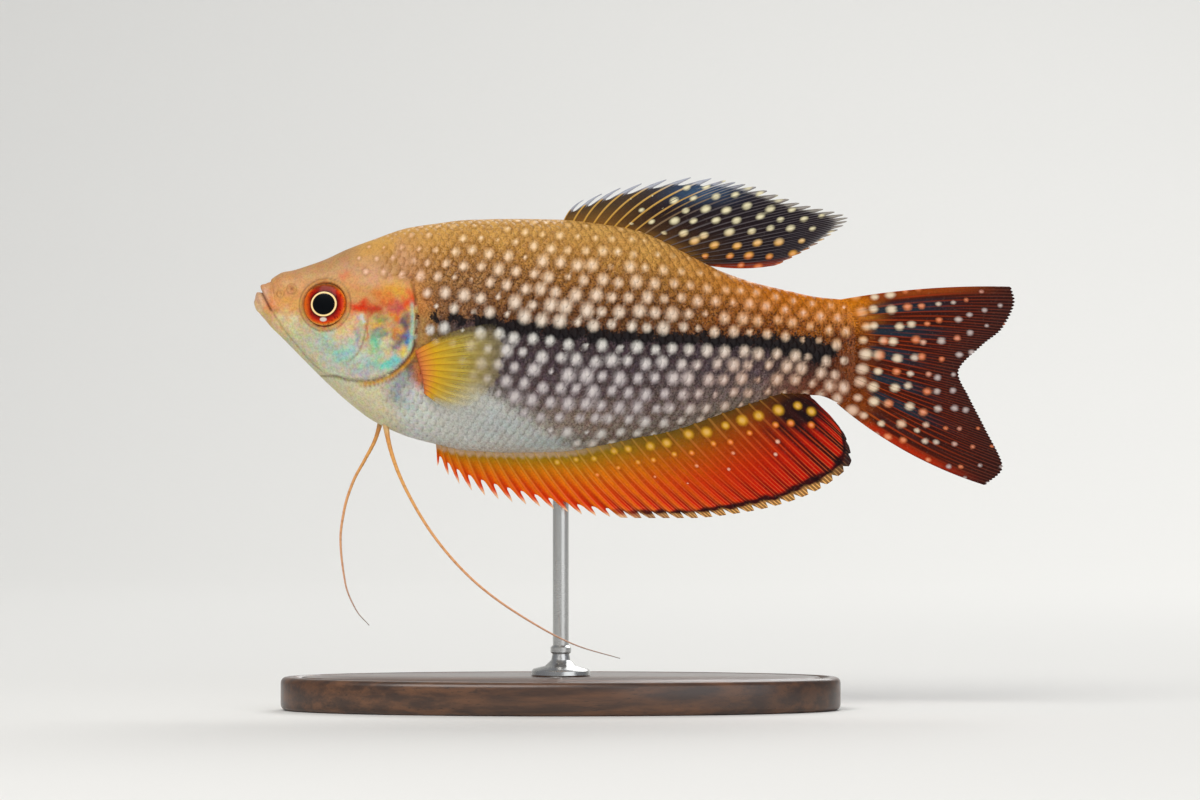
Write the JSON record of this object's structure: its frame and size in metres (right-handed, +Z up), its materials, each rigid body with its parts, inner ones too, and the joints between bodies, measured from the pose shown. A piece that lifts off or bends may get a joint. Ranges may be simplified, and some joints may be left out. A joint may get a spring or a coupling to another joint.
{
  "type": "pearl gourami display model",
  "caption": "Life-size still model of a pearl gourami with spread fins and trailing feelers, on a rod and an oval base.",
  "frame": {"origin": "on the surface it stands on, below the middle of the model's bounding box", "axes": "+X towards the tail, the head points to -X; +Y towards the fish's right side; +Z up"},
  "size_m": [0.1142, 0.038, 0.08],
  "materials": {
    "flesh": "scaled skin, cast and painted, satin varnish: golden back, violet-grey flank with pale pearls",
    "eye": "clear gloss over a red iris and a black pupil",
    "dark_fin": "blackish membrane with cream spots, satin",
    "red_fin": "orange to red membrane with a dark margin, satin",
    "tail_fin": "dark red-brown membrane with pale spots, satin",
    "yellow_fin": "thin yellow membrane, half clear",
    "thread": "smooth orange-tan thread",
    "wood": "dark stained walnut, satin lacquer",
    "steel": "fine turned stainless steel"
  },
  "bodies": {
    "root": {"head": "flesh", "torso": "flesh", "tail_stalk": "flesh", "eye_left": "eye", "eye_right": "eye", "dorsal_fin": "dark_fin", "anal_fin": "red_fin", "tail_fin_upper": "tail_fin", "tail_fin_lower": "tail_fin", "pectoral_fin_left": "yellow_fin", "pectoral_fin_right": "yellow_fin", "feeler_left_1": "thread", "feeler_left_2": "thread", "feeler_left_3": "thread", "feeler_right_1": "thread", "feeler_right_2": "thread", "feeler_right_3": "thread", "stand_base": "wood", "stand_rod": "steel"}
  },
  "joints": []
}
